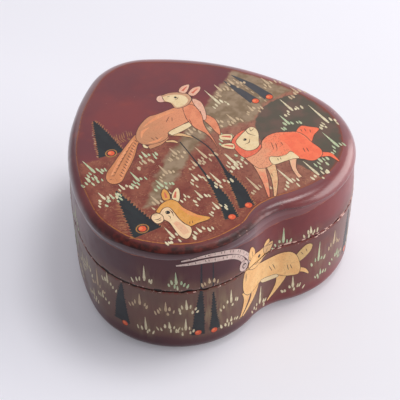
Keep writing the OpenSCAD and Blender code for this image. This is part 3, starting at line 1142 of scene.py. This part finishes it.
def leaping_deer():
    tail = blob([(-15.2, 10.8), (-19, 9.2), (-24.4, 6.2), (-29.8, 3.0), (-33.6, 0.8), (-35.4, -1.4),
                 (-35.7, -3.6), (-34.6, -5.2), (-32, -5.5), (-28.8, -3.2), (-24.8, -0.4), (-21.0, 2.8),
                 (-18.4, 5.6), (-16, 7.8)])
    body = blob([(4.6, 14.6), (-3.2, 15.2), (-6.5, 15.8), (-9.9, 14.7), (-12.8, 13), (-15, 11), (-16.4, 8.6),
                 (-16.3, 6), (-14.4, 4), (-11, 2.9), (-7.6, 3.2), (-5.9, 4.8), (-1.9, 5.4), (3, 6.0), (6, 5),
                 (9.4, 6.4), (11.3, 9.4), (12.2, 12), (11.4, 15)])
    shoulder = blob([(6.2, 13.2), (4.0, 9), (3.1, 5), (3.2, 1.4), (4.3, -2), (4.4, -6), (3.2, -11.4), (4.8, -6),
                     (5.7, -1.2), (6.8, 2.4), (8.6, 5.6), (9.4, 9.4), (9.2, 12.4)])
    second_leg = blob([(8.1, 5.4), (9.9, 5.4), (11.1, 2.2), (10.6, -0.6), (9.6, -3.2), (7.9, -6.0), (7.6, -3.5),
                       (7.9, -0.4), (7.8, 3.3)])
    head = blob([(1.0, 22.0), (2.2, 22.9), (3.7, 22.5), (6, 22.2), (8, 21.3), (9.7, 20), (11.2, 18),
                 (11.1, 15.4), (9, 13.6), (6.2, 13.2), (3.6, 14.2), (3.8, 17.2), (2.6, 19.2), (0.8, 20.2)])
    cheek = blob([(3.2, 21.6), (6, 21.0), (8.2, 19.8), (9.8, 17.8), (9.6, 15.2), (7, 13.8), (4.2, 14.4),
                  (4.2, 17.2), (3.0, 19.3)])
    muzzle = blob([(0.9, 21.9), (2.2, 22.9), (3.3, 22.5), (2.9, 20.8), (2.4, 19.4), (0.8, 20.2)])
    ears = [blob([(9.6, 20.8), (11.8, 22.4), (14.6, 21.9), (13.1, 20.1), (10.8, 18.9)]),
            blob([(11.6, 18), (14.6, 19.4), (17.1, 18.7), (15.6, 16.9), (12.4, 15.9)])]
    nape = blob([(11.2, 14.8), (12.5, 12), (11.6, 8.4), (9.9, 5), (8.2, 3.2), (7.5, 5), (9.4, 8.7), (10, 12.2)])
    belly = blob([(-5.6, 5.2), (-1, 5.6), (3.5, 5.3), (3.6, 3.8), (-0.4, 3.1), (-5.4, 3.4)])
    hind = [("deer", limb([(-7.4, 3.8), (-11.2, 2.8), (-15.4, 2.8)], [2.0, 2.4, 1.6])),
            ("cream", limb([(-15.9, 5.4), (-16.2, 4.0), (-15.6, 3.0)], [0.5, 1.0, 0.6])),
            ("pale", limb([(-5.9, 4.2), (-2.7, 1.6), (-0.4, -1.8)], [1.2, 1.3, 0.2])),
            ("pale", limb([(-9.0, 1.9), (-6.9, 0.6), (-6.2, -1.0)], [0.6, 1.0, 0.3]))]
    shapes = outlined([("salmon", second_leg), ("tail", tail)] + hind + [("deer", body), ("cream", belly),
                      ("nape", nape), ("salmon", shoulder), ("mask", head)] + [("nape", ear) for ear in ears])
    shapes += [("tail_light", limb([(-10.8, 12.6), (-4, 13.9), (2.4, 13.0)], [0.3, 1.5, 0.5])),
               ("tail_light", limb([(-14.6, 8.4), (-12.6, 10.6), (-9.6, 11.2)], [0.3, 1.2, 0.3])),
               ("tail_light", limb([(-14.2, 4.8), (-11.4, 4.0), (-8.6, 4.4)], [0.3, 1.0, 0.3])),
               ("cream", cheek), ("muzzle", muzzle), ("ear", limb([(10.8, 20.4), (13.4, 21.4)], [1.0, 0.3])),
               ("ear", limb([(12.8, 17.4), (15.8, 18.3)], [1.0, 0.3])),
               hair((3.4, 22.4), (2.9, 20.8), (2.5, 19.4)),
               hair((9.0, 13.6), (11.0, 15.0), (11.4, 17.4)), ("dark", disc(6.8, 18.9, 0.95, 1.1)),
               hair((5.8, 18.0), (6.9, 17.9), (7.6, 18.6)), hair((4.6, 20.9), (5.6, 20.6), width=0.24)]
    shapes += [hair(*pair) for pair in (
        ((-0.8, 11.8), (-3.3, 10.1)), ((-0.2, 11.0), (-1.4, 9.2)), ((-12.0, 6.6), (-11.7, 4.8)),
        ((-10.6, 6.0), (-10.5, 4.3)), ((4.0, 6.9), (3.0, 3.4)), ((9.6, 8.0), (8.8, 6.2)),
        ((-6.2, 5.4), (-5.6, 3.4)))]
    shapes += [("tail_light", limb([(-17.6, 9.0), (-25.6, 4.2), (-33.2, -1.2)], [0.5, 1.1, 0.5])),
               ("tail_dark", limb([(-18.4, 8.2), (-26.0, 3.0), (-33.0, -2.2)], [0.2, 0.4, 0.1])),
               ("tail_light", limb([(-18.6, 6.4), (-25.0, 0.8), (-31.6, -4.4)], [0.4, 0.9, 0.5]))]
    for share in spread(0, 1, 13):
        foot = Vector((-16.9, 7.4)).lerp(Vector((-30.6, -4.0)), share)
        shapes.append(hair(foot, foot + Vector((-0.15, 1.6)), width=0.36))
    for share in spread(0, 1, 9):
        foot = Vector((-20.4, 6.6)).lerp(Vector((-34.0, -2.8)), share)
        shapes.append(hair(foot, foot + Vector((-0.9, 0.2)), width=0.26))
    return shapes


def fawn():
    body = blob([(15.6, -9.4), (12, -9.4), (9.4, -10.6), (8.3, -12.8), (7.7, -16), (7.8, -19.8), (7.9, -23.4),
                 (8.6, -27), (11.4, -28.2), (14.2, -27.8), (18, -28.8), (21.6, -30.2), (25, -33.4),
                 (28, -34.4), (30.3, -33.4), (31.2, -31), (30.8, -27), (30.9, -23), (30, -20), (27.4, -18.2),
                 (24, -16.2), (20.6, -15.8), (17.6, -16.8), (15.6, -18.2)])
    hood = blob([(16, -9), (12.2, -9.3), (9.2, -10.9), (8.2, -12.9), (7.5, -16), (7.6, -19.8), (10.2, -20.6),
                 (13.2, -20.2), (16, -18.2), (15, -14)])
    haunch = blob([(28.6, -21.6), (29.6, -20), (31.3, -18.8), (33.3, -18.4), (35.2, -20.4),
                   (37.2, -22.9), (33.8, -24.4), (30.6, -26.8), (28.4, -25)])
    rump = blob([(23.2, -18.6), (27, -18.4), (30, -21), (30.6, -26), (31.1, -31), (29.4, -33.8), (26.1, -34.5),
                 (23.8, -32.4), (22.6, -28.2), (23.4, -23)])
    tail = limb([(29.6, -33.4), (32.0, -35.2), (32.4, -37.4), (32.5, -39.8)], [2.4, 1.7, 1.0, 0.2])
    front = [limb([(10.6, -22.7), (8.9, -27.2), (6.4, -33.2), (2.9, -39.9)], [5.0, 3.2, 1.9, 0.4]),
             limb([(13.2, -26.4), (10.6, -32.4), (7.9, -36.6), (4.8, -40.6)], [3.6, 2.3, 1.5, 0.6])]
    hind = limb([(20.8, -29.4), (18.3, -33.2), (17.3, -36.2), (17.1, -38.3)], [2.6, 1.4, 1.1, 1.3])
    face = blob([(10.3, -11.8), (12.3, -10.7), (15.8, -9.4), (18.4, -8.8), (19.5, -10.2),
                 (18.9, -12.8), (16.6, -16), (15.4, -17.8), (13.1, -18.6), (10.8, -17.8),
                 (9.8, -15.8), (9.7, -13.4)])
    ears = [blob([(7.5, -6.1), (9.7, -6.9), (11, -8.5), (9.6, -10.2), (8, -9.2), (6.7, -8)]),
            blob([(4.9, -10.4), (7.1, -10.9), (8.7, -12.4), (7.6, -14.4), (6, -13.2), (5, -11.6)])]
    belly = blob([(14.7, -24.6), (17.3, -26.3), (20.2, -26.9), (22.3, -26.6), (22.7, -30.6), (20.6, -29.7),
                  (17.3, -29.1), (13.6, -28.2)])
    shapes = outlined([("fawn_leg", front[0]), ("leg_cream", front[1]), ("blush", hind), ("coral", haunch),
                       ("coral", tail), ("fawn", body), ("cream", belly), ("coral_dark", hood), ("cream", face)]
                      + [("cream", ear) for ear in ears])
    shapes += [("coral", rump), ("ear", limb([(7.8, -6.9), (10.2, -8.9)], [0.4, 1.2])),
               ("ear", limb([(5.9, -11.1), (8.0, -13.3)], [0.4, 1.2])), ("dark", disc(13.2, -12.8, 1.3, 1.2)),
               ("cream", disc(13.0, -12.5, 0.35)), hair((11.8, -14.7), (13.5, -14.8), (14.7, -13.5)),
               hair((16.4, -8.8), (16.0, -11.0), (17.3, -13.4), width=0.34),
               hair((18.1, -9.0), (17.4, -10.5), (19.1, -10.0)),
               hair((15.8, -17.8), (19.0, -15.8), (19.4, -15.8))]
    for pair in (((19.6, -19.1), (18.2, -22.4)), ((20.6, -20.2), (19.2, -23.0)), ((22.4, -20.8), (21.9, -22.6)),
                 ((26.7, -27.4), (26, -29.6)), ((27.7, -28), (27.1, -30.1)), ((16.6, -26.6), (16.1, -27.6)),
                 ((17.6, -26.8), (17.1, -27.8)), ((31.9, -19.4), (31.5, -20.9)), ((33.1, -19.9), (32.7, -21.5)),
                 ((34.4, -21.4), (33.6, -22.8)), ((10.4, -31.4), (9.8, -32.6))):
        shapes.append(hair(*pair))
    return shapes


def doe_head():
    hood = blob([(-31, -24.3), (-29.2, -22.9), (-27.1, -22), (-24.2, -22), (-22.8, -24.1), (-22.8, -27.4),
                 (-22, -30.9), (-20.5, -33.4), (-18.2, -36.3), (-20, -36.6), (-23.1, -36), (-25.8, -35.8),
                 (-28, -33), (-28.6, -27)])
    face = blob([(-30.5, -25.6), (-28.2, -24.2), (-26.5, -24.8), (-26.5, -27.4), (-26.9, -30.7), (-26.7, -33.9),
                 (-26, -36.4), (-27.6, -38.8), (-30, -39.7), (-31, -37.1), (-30.6, -33.6), (-30.2, -30.3),
                 (-31, -28)])
    muzzle = blob([(-32.7, -24.5), (-31.4, -24.7), (-30.4, -26.1), (-30.8, -27.9), (-31.9, -28.9),
                   (-33.7, -28.6), (-34.1, -26.8), (-33.8, -25.4)])
    ears = [blob([(-25.9, -20.7), (-24.9, -18.2), (-22.9, -16.7), (-22.6, -18.8), (-23.6, -21.3),
                  (-24.9, -21.8)]),
            blob([(-23.2, -22), (-21.5, -19.9), (-19, -18.8), (-19.6, -21), (-22.2, -24.2)])]
    shapes = outlined([("ochre", ears[0]), ("cream", ears[1]), ("ochre", hood), ("face", face),
                       ("face", muzzle)], 0.26)
    shapes += [("blush", limb([(-28.8, -31.5), (-28.4, -34.4), (-28.7, -37.8)], [1.4, 2.6, 2.2])),
               ("ear", limb([(-24.6, -20.6), (-23.6, -18.2)], [0.9, 0.4])),
               ("ear", limb([(-22.4, -22.2), (-20.4, -20.0)], [1.1, 0.4])),
               ("orange", limb([(-23.4, -26.4), (-22.6, -30.6), (-20.4, -34.8)], [0.6, 1.5, 0.8])),
               ("dark", disc(-28.1, -26.4, 1.5, 1.7)), ("cream", disc(-28.4, -26.0, 0.4)),
               hair((-27.0, -25.6), (-26.9, -27.4), (-27.6, -28.9), width=0.36),
               hair((-28.9, -27.6), (-28.6, -28.6), (-29.2, -29.3)),
               hair((-33.5, -26.7), (-32.3, -27.3), (-31.2, -27.0)),
               hair((-33.4, -27.6), (-32.4, -28.0), (-31.6, -27.8), width=0.24),
               hair((-32.6, -24.6), (-31.4, -25.4)), hair((-25.4, -34.9), (-24.6, -33.9)),
               hair((-24.4, -35.2), (-23.8, -34.2))]
    return shapes


def ibex():
    """The ibex of the front wall, drawn over the seam. s goes on past the hollow's middle."""
    horns = [limb([(275.6, 44.5), (282.2, 45.5), (286.8, 45.3), (291.4, 44.2), (295.6, 42.2), (298.7, 39.2),
                   (300.8, 36.0), (301.4, 33.4)], [0.5, 1.3, 1.6, 1.8, 1.9, 1.8, 1.7, 1.2]),
             limb([(273.9, 42.7), (282.2, 43.3), (286.8, 42.9), (292.4, 41.5), (295.6, 39.7), (297.8, 37.0),
                   (298.3, 34.4), (298.0, 32.6)], [0.5, 1.6, 1.8, 1.7, 1.7, 1.6, 1.5, 1.0])]
    curl = [("horn", disc(298.3, 34.0, 3.8, 4.6)), ("horn_line", disc(298.5, 33.9, 1.9, 2.4)),
            ("horn", disc(298.6, 33.8, 1.2, 1.5))]
    body = blob([(299.0, 31.0), (301.6, 31.4), (304.4, 29.6), (308, 28), (312, 27.5), (316, 27.6), (319.4, 27),
                 (321.6, 24.6), (322.8, 21.2), (323.4, 17.8), (322.8, 15), (320.4, 15.1), (317.6, 15.7),
                 (315, 17.4), (312, 18.2), (308.4, 19), (305, 17.8), (301.6, 17.6), (299.0, 20.4),
                 (298.2, 25.6)])
    legs = [limb([(300.3, 20.8), (300.6, 17.0), (299.5, 12.6), (298.0, 8.8)], [4.6, 3.0, 1.7, 0.6]),
            limb([(305.0, 19.2), (304.3, 15.2), (301.6, 11.4), (299.0, 8.6)], [4.6, 2.9, 1.6, 0.5]),
            limb([(316.8, 17.0), (315.9, 13.2), (314.0, 9.4), (311.7, 6.1)], [4.4, 2.6, 1.5, 0.4]),
            limb([(322.2, 17.4), (325.0, 15.8), (327.0, 13.2)], [2.2, 1.6, 0.4])]
    tail = blob([(321.4, 24.2), (323.2, 26.9), (325.5, 28.4), (327.6, 27.2), (327, 24.4), (324.4, 21.9),
                 (322.2, 21.2)])
    belly = blob([(308, 19.2), (311.4, 18.5), (314.6, 17.8), (315.2, 16.2), (312.2, 16.3), (309, 17.3)])
    head = blob([(300.8, 30.6), (301.0, 33.4), (303.4, 35.0), (306.6, 34.6), (309.4, 34.8), (312.2, 35.4),
                 (312.6, 34.2), (311.4, 31.2), (308.8, 30.2), (307.2, 28.9), (304, 28.6)])
    snout = blob([(308.4, 34.4), (310.2, 34.9), (312.3, 35.3), (312.5, 34.2), (311.3, 31.4), (309.4, 30.9)])
    ears = [blob([(300.8, 34.8), (301, 38), (302.2, 39.6), (303.8, 37.4), (303.7, 34.4)]),
            blob([(308.6, 34.8), (309.8, 36.8), (311.0, 37.0), (310.8, 35.0)])]
    shapes = [("horn_line", grown(horn, 0.2)) for horn in horns] + [("horn", horn) for horn in horns]
    shapes += [("horn_line", grown(curl[0][1], 0.2))] + curl
    shapes += outlined([("ibex", leg) for leg in legs] + [("ibex_tail", tail), ("ibex", body), ("cream", belly)]
                       + [("ibex", ear) for ear in ears] + [("ibex", head), ("pale", snout)])
    for share in spread(0.08, 0.92, 15):
        for horn in horns:
            half = len(horn) // 2
            i = int(share * (half - 1))
            a, b = horn[i], horn[-1 - i]
            shapes.append(hair(a.lerp(b, 0.1), a.lerp(b, 0.75) + Vector((0.3, 0)), width=0.3))
    shapes += [("dark", disc(306.3, 32.4, 1.3, 1.3)), hair((309.2, 34.6), (311.6, 34.2), (312.3, 34.4)),
               hair((302.4, 35.2), (302.5, 37.6)), hair((299.4, 29.8), (299.6, 25.6), width=0.4),
               hair((309.6, 31.4), (310.2, 33.2), width=0.24), hair((303.6, 30.4), (306.4, 29.6))]
    for pair in (((311.4, 23.8), (312.8, 20.6)), ((312.9, 23.8), (314.2, 20.4)), ((318.3, 21.2), (319.0, 18.2)),
                 ((319.5, 20.8), (320.3, 18.4)), ((323.2, 25.6), (324.2, 24.0)), ((325.0, 26.6), (325.6, 24.8))):
        shapes.append(hair(*pair))
    return shapes


def redrawn(shapes, s, z, size):
    """A figure of the lid, drawn again on the wall."""
    place = Vector((s, z))
    return [(key, [place + p * size for p in loop]) for key, loop in shapes]


def seam_chips(side):
    """Chips where the paint has broken off beside the seam, down to the chalk."""
    rng = random.Random(30 + side)
    edge = lid_edge if side > 0 else base_edge
    made = []
    for _ in range(170):
        s = rng.uniform(0, AROUND)
        worn = smooth(from_front(s, 24), 34, 12)
        if rng.random() > 0.22 + 0.78 * worn:
            continue
        size = rng.uniform(0.25, 0.8) * (1 + 0.9 * worn)
        centre = Vector((s, edge(s) + side * rng.uniform(0.05, 0.3)))
        loop = []
        for i in range(7):
            wide = size * rng.uniform(0.5, 1) * math.cos(math.tau * i / 7)
            tall = 0.55 * size * rng.uniform(0.5, 1) * math.sin(math.tau * i / 7)
            loop.append(centre + Vector((wide, tall)))
        made.append((rng.choice(("chalk", "chalk", "scuff")), loop))
    return made


def make_paints():
    paint, graded = paint_material, graded_paint
    return {
        "panel": panel_material(),
        "gold": gold_material(),
        "lap": paint("lap_line", (176, 104, 78), (124, 56, 48), 3, share=1.0),
        "line": paint("dark_line", (78, 44, 32), (54, 32, 26)),
        "dark": paint("eye_black", (24, 22, 24), (36, 30, 28), stipple=0),
        "deer": graded("deer_coat", (192, 132, 92), (214, 138, 98), -14, 2),
        "salmon": paint("salmon_coat", (222, 138, 98), (204, 116, 80)),
        "tail": paint("tail_coat", (206, 132, 84), (188, 118, 74), 3, (1, 0.5, 1)),
        "tail_light": paint("tail_light", (222, 142, 96), (230, 160, 112)),
        "tail_dark": paint("tail_dark", (150, 92, 50), (120, 72, 42)),
        "mask": paint("mask", (192, 142, 108), (206, 160, 124)),
        "pale": paint("pale_coat", (208, 164, 114), (222, 178, 128)),
        "cream": paint("cream_face", (228, 204, 160), (218, 188, 140), stipple=0.12),
        "leg_cream": paint("leg_cream", (222, 180, 132), (214, 148, 108), 1.5, stipple=0.3),
        "face": paint("doe_face", (232, 200, 156), (228, 186, 146), stipple=0.1),
        "muzzle": paint("pink_muzzle", (222, 172, 152), (226, 186, 158)),
        "nape": paint("nape", (224, 174, 148), (216, 152, 124), 1.5),
        "blush": paint("blush", (226, 168, 132), (222, 180, 142)),
        "ear": paint("inner_ear", (206, 104, 78), (190, 96, 72)),
        "fawn": graded("fawn_coat", (220, 150, 112), (236, 124, 86), 12, 23, 0.4),
        "coral": paint("coral", (238, 114, 76), (230, 98, 66), stipple=0.1),
        "coral_dark": paint("coral_hood", (220, 98, 70), (226, 120, 88), 1.5, stipple=0.25),
        "fawn_leg": graded("fawn_legs", (224, 132, 98), (220, 172, 130), 5, 11),
        "ochre": paint("ochre_coat", (212, 146, 62), (222, 160, 84)),
        "orange": paint("orange_coat", (222, 140, 74), (226, 152, 92)),
        "ibex": paint("ibex_coat", (238, 190, 126), (228, 170, 106), 3),
        "ibex_tail": paint("ibex_tail", (206, 168, 108), (220, 182, 122)),
        "horn": paint("horn", (214, 190, 180), (192, 160, 152)),
        "horn_line": paint("horn_line", (62, 42, 44), (80, 54, 54)),
        "cypress": paint("cypress", (18, 20, 26), (28, 36, 38), 3, (1, 0.4, 1), stipple=0.05),
        "far_tree": paint("far_tree", (64, 62, 66), (52, 52, 58), 3, (1, 0.4, 1), stipple=0.05),
        "halo": paint("tree_fringe", (160, 102, 66), (124, 74, 52), 1.2),
        "bush": paint("dry_bush", (156, 104, 64), (130, 80, 54), 1.2),
        "stem": paint("stem", (28, 28, 38), (40, 34, 42)),
        "berry": paint("berry", (222, 88, 46), (206, 74, 44), stipple=0.1),
        "berry_light": paint("berry_light", (236, 124, 76), (230, 108, 66), stipple=0.05),
        "ring": paint("berry_ring", (170, 120, 56), (140, 92, 48), 1.2),
        "blade": paint("grass_pale", (220, 208, 174), (190, 174, 138), 1.6, stipple=0.1),
        "blade_green": paint("grass_green", (166, 184, 146), (206, 200, 164), 1.6, stipple=0.1),
        "blade_dim": paint("grass_dim", (184, 158, 126), (204, 178, 142), 1.6, stipple=0.1),
        "chalk": paint("bare_chalk", (222, 180, 166), (196, 146, 132), 0.8),
        "scuff": paint("red_scuff", (128, 48, 38), (96, 38, 34), 0.8),
    }


def split(name, shapes):
    """Lays shapes of the walls over the seam as two coats, one on each body."""
    for body, surface, above in (("lid", lid_point, True), ("base", base_point, False)):
        layers = [(key, clip(loop, SEAM_Z, above)) for key, loop in shapes]
        coat(f"{name}_{body}", body, surface, layers, FIGURE_LIFT, WALL_STEP)


def make_painting():
    make_panel()
    line_round("gold_line", gold_place, 0.36, TREE_LIFT, "gold", GOLD_STRENGTH)
    line_round("lap_line", lap_place, 0.2, LAP_LIFT, "lap")
    coat("lid_trees", "lid", top_point, lid_trees(), TREE_LIFT, LID_STEP)
    coat("lid_grass", "lid", top_point, grass(LID_TUFTS, 4, 0.04), GRASS_LIFT)
    coat("leaping_deer", "lid", top_point, leaping_deer(), FIGURE_LIFT, LID_STEP)
    coat("fawn", "lid", top_point, fawn(), FIGURE_LIFT, LID_STEP)
    coat("doe_head", "lid", top_point, doe_head(), FIGURE_LIFT, LID_STEP)
    coat("lid_stems", "lid", lid_point, lid_stems(), TREE_LIFT)
    coat("lid_wall_grass", "lid", lid_point, grass(WALL_TUFTS + BACK_LID, 8, WALL_LEAN), WALL_GRASS_LIFT)
    coat("base_trees", "base", base_point, base_trees(), TREE_LIFT, WALL_STEP)
    coat("base_grass", "base", base_point, grass(BASE_TUFTS + BACK_BASE, 9, WALL_LEAN), GRASS_LIFT)
    split("ibex", ibex())
    split("far_deer", redrawn(leaping_deer(), 160, 17, 0.62))
    coat("lid_chips", "lid", lid_point, seam_chips(1), LID_CHIP_LIFT)
    coat("base_chips", "base", base_point, seam_chips(-1), BASE_CHIP_LIFT)


def dress_construction():
    """Materials of the construction's own nodes."""
    pulp = pulp_material("pulp")
    under = pulp_material("pulp_underside", MAROON)
    collar = pulp_material("collar_lacquer")
    for node, material in (("base_wall", pulp), ("lid_wall", pulp), ("lid_board", pulp), ("base_board", under),
                           ("collar", collar)):
        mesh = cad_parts[node].data
        mesh.materials.clear()
        mesh.materials.append(material)


# ---- The stage ----

# The picture's own right, seen from above, along which the table's painted light and shade change
RIGHTWARD = (0.813, -0.582)
FLOOR_GLOW = 0.18     # lifts the table where it is looked at, so that its shadow stays pale
TABLE_HALF = 4.0      # half the table's width, in metres
TABLE_DROP = 0.05     # how far the table lies under the box's foot


def floor_material():
    shader = Shader("pale_table")
    x, y = shader.axis(0), shader.axis(1)
    across = shader.plus(shader.times(x, RIGHTWARD[0]), shader.times(y, RIGHTWARD[1]))
    away = shader.plus(shader.times(x, -RIGHTWARD[1]), shader.times(y, RIGHTWARD[0]))
    # Painted light and shade on the table: lighter to the left, where the box's shadow falls, darker to the
    # right under the window, and darker further away
    painted_light_tone = shader.mix(shader.step(across, -0.12, 0.10), srgb(232, 231, 238), srgb(212, 211, 216))
    painted_light_tone = shader.mix(shader.step(away, -0.02, 0.16), painted_light_tone, srgb(214, 213, 219))
    color = shader.mix(shader.times(shader.noise(60, 4), 0.2), painted_light_tone, srgb(220, 219, 226))
    ray = shader.add("ShaderNodeLightPath").outputs
    seen = shader.plus(shader.plus(ray["Is Camera Ray"], ray["Is Glossy Ray"]), ray["Is Transmission Ray"])
    shader.tree.links.new(color, shader.bsdf.inputs["Emission Color"])
    shader.tree.links.new(shader.times(seen, FLOOR_GLOW), shader.bsdf.inputs["Emission Strength"])
    return shader.finish(color, shader.span(shader.noise(30, 3), 0.5, 0.6))


def make_floor():
    corners = [(x * TABLE_HALF, y * TABLE_HALF, 0) for x, y in ((-1, -1), (1, -1), (1, 1), (-1, 1))]
    mesh = bpy.data.meshes.new("table")
    mesh.from_pydata(corners, [], [(0, 1, 2, 3)])
    mesh.materials.append(floor_material())
    table = bpy.data.objects.new("table", mesh)
    table.location.z = -TABLE_DROP * MM
    bpy.context.scene.collection.objects.link(table)


# (name, place in metres, width, height, power, colour) of each lamp
LAMPS = [
    ("window", (0.82, -0.42, 0.38), 1.5, 0.76, 14.0, (1.0, 0.98, 0.97)),
    ("lamp_above", (0.27, -0.06, 0.95), 0.30, 0.30, 2.8, (1.0, 0.99, 0.98)),
    ("pale_wall", (0.62, 0.92, 0.46), 1.6, 1.2, 4.8, (0.96, 0.97, 1.0)),
]
LAMP_AIM = (0, 0, 0.03)
ROOM_COLOR = (0.88, 0.88, 0.94, 1)
ROOM_STRENGTH = 0.41


def area_light(name, place, wide, tall, power, color):
    """A rectangular lamp that faces the middle of the box."""
    data = bpy.data.lights.new(name, "AREA")
    data.shape = "RECTANGLE"
    data.size = wide
    data.size_y = tall
    data.energy = power
    data.color = color
    light = bpy.data.objects.new(name, data)
    light.location = place
    light.rotation_euler = (Vector(LAMP_AIM) - Vector(place)).to_track_quat("-Z", "Y").to_euler()
    bpy.context.scene.collection.objects.link(light)


def make_lights():
    """A large window to the right, a small lamp above, a pale wall behind and an even room."""
    for lamp in LAMPS:
        area_light(*lamp)
    world = bpy.data.worlds.new("studio")
    world.use_nodes = True
    background = world.node_tree.nodes["Background"]
    background.inputs["Color"].default_value = ROOM_COLOR
    background.inputs["Strength"].default_value = ROOM_STRENGTH
    bpy.context.scene.world = world


CAMERA_AZIMUTH = math.radians(-35.582)
CAMERA_ELEVATION = math.radians(43.73)
CAMERA_ROLL = math.radians(-0.16)
CAMERA_DISTANCE = 610.7
CAMERA_ASIDE = (-2.994, 4.278)
FOCAL_PIXELS = 1750
PICTURE = 400


def make_camera():
    """The camera that the photograph's outline, gold line and seam were fitted to."""
    a, e = CAMERA_AZIMUTH, CAMERA_ELEVATION
    back = Vector((math.sin(a) * math.cos(e), -math.cos(a) * math.cos(e), math.sin(e)))
    right = Vector((math.cos(a), math.sin(a), 0))
    up = back.cross(right)
    turn = Matrix.Rotation(CAMERA_ROLL, 3, back)
    right, up = turn @ right, turn @ up
    data = bpy.data.cameras.new("camera")
    data.sensor_width = 36
    data.lens = data.sensor_width * FOCAL_PIXELS / PICTURE
    data.clip_start = 0.01
    camera = bpy.data.objects.new("camera", data)
    aside = right * CAMERA_ASIDE[0] + up * CAMERA_ASIDE[1]
    place = back * CAMERA_DISTANCE - aside + Vector((0, 0, BOX_H / 2))
    camera.matrix_world = Matrix.Translation(place * MM) @ Matrix((right, up, back)).transposed().to_4x4()
    bpy.context.scene.collection.objects.link(camera)
    bpy.context.scene.camera = camera


PAINTS = make_paints()
make_skins()
make_painting()
dress_construction()
make_floor()
make_lights()
make_camera()
bpy.context.scene.view_settings.view_transform = "Standard"
